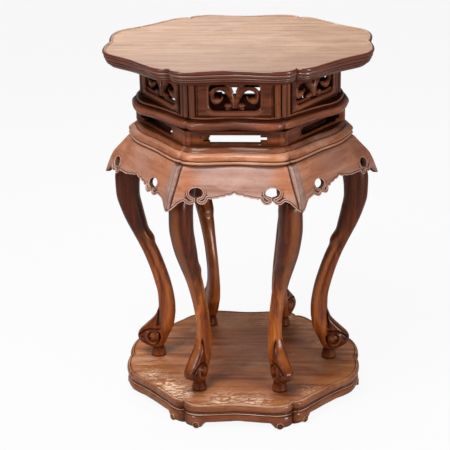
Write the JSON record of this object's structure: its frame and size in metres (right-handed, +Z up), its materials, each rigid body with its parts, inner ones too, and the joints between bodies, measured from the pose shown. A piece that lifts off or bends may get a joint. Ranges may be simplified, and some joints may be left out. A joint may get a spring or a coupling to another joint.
{
  "type": "side table",
  "caption": "Tall hexagonal carved hardwood side table: lobed top, pierced waist, scalloped apron, S-curved legs with scroll feet on a lobed plinth",
  "frame": {"origin": "middle of the plinth's underside, on the floor", "axes": "+Z up, the front side faces -Y, two opposite corners lie on the X axis"},
  "size_m": [0.457, 0.4046, 0.6035],
  "materials": {
    "top_wood": "worn oiled hardwood, satin",
    "waist_wood": "polished red-brown hardwood",
    "moulding_wood": "polished red-brown hardwood",
    "lower_moulding_wood": "polished orange-brown hardwood",
    "apron_wood": "worn pinkish-brown hardwood",
    "leg_wood": "polished dark red-brown hardwood",
    "base_wood": "worn red-brown hardwood, satin"
  },
  "bodies": {
    "root": {"top_plank_front": "top_wood", "top_plank_middle": "top_wood", "top_plank_back": "top_wood", "batten_left": "waist_wood", "batten_right": "waist_wood", "upper_panel_right_back": "waist_wood", "upper_moulding_right_back": "moulding_wood", "lower_waist_right_back": "waist_wood", "lower_moulding_right_back": "lower_moulding_wood", "apron_right_back": "apron_wood", "base_rail_right_back": "base_wood", "upper_panel_back": "waist_wood", "upper_moulding_back": "moulding_wood", "lower_waist_back": "waist_wood", "lower_moulding_back": "lower_moulding_wood", "apron_back": "apron_wood", "base_rail_back": "base_wood", "upper_panel_left_back": "waist_wood", "upper_moulding_left_back": "moulding_wood", "lower_waist_left_back": "waist_wood", "lower_moulding_left_back": "lower_moulding_wood", "apron_left_back": "apron_wood", "base_rail_left_back": "base_wood", "upper_panel_left_front": "waist_wood", "upper_moulding_left_front": "moulding_wood", "lower_waist_left_front": "waist_wood", "lower_moulding_left_front": "lower_moulding_wood", "apron_left_front": "apron_wood", "base_rail_left_front": "base_wood", "upper_panel_front": "waist_wood", "upper_moulding_front": "moulding_wood", "lower_waist_front": "waist_wood", "lower_moulding_front": "lower_moulding_wood", "apron_front": "apron_wood", "base_rail_front": "base_wood", "upper_panel_right_front": "waist_wood", "upper_moulding_right_front": "moulding_wood", "lower_waist_right_front": "waist_wood", "lower_moulding_right_front": "lower_moulding_wood", "apron_right_front": "apron_wood", "base_rail_right_front": "base_wood", "corner_post_right": "waist_wood", "leg_right": "leg_wood", "corner_post_back_right": "waist_wood", "leg_back_right": "leg_wood", "corner_post_back_left": "waist_wood", "leg_back_left": "leg_wood", "corner_post_left": "waist_wood", "leg_left": "leg_wood", "corner_post_front_left": "waist_wood", "leg_front_left": "leg_wood", "corner_post_front_right": "waist_wood", "leg_front_right": "leg_wood", "base_plank_front": "base_wood", "base_plank_middle": "base_wood", "base_plank_back": "base_wood"}
  },
  "joints": []
}
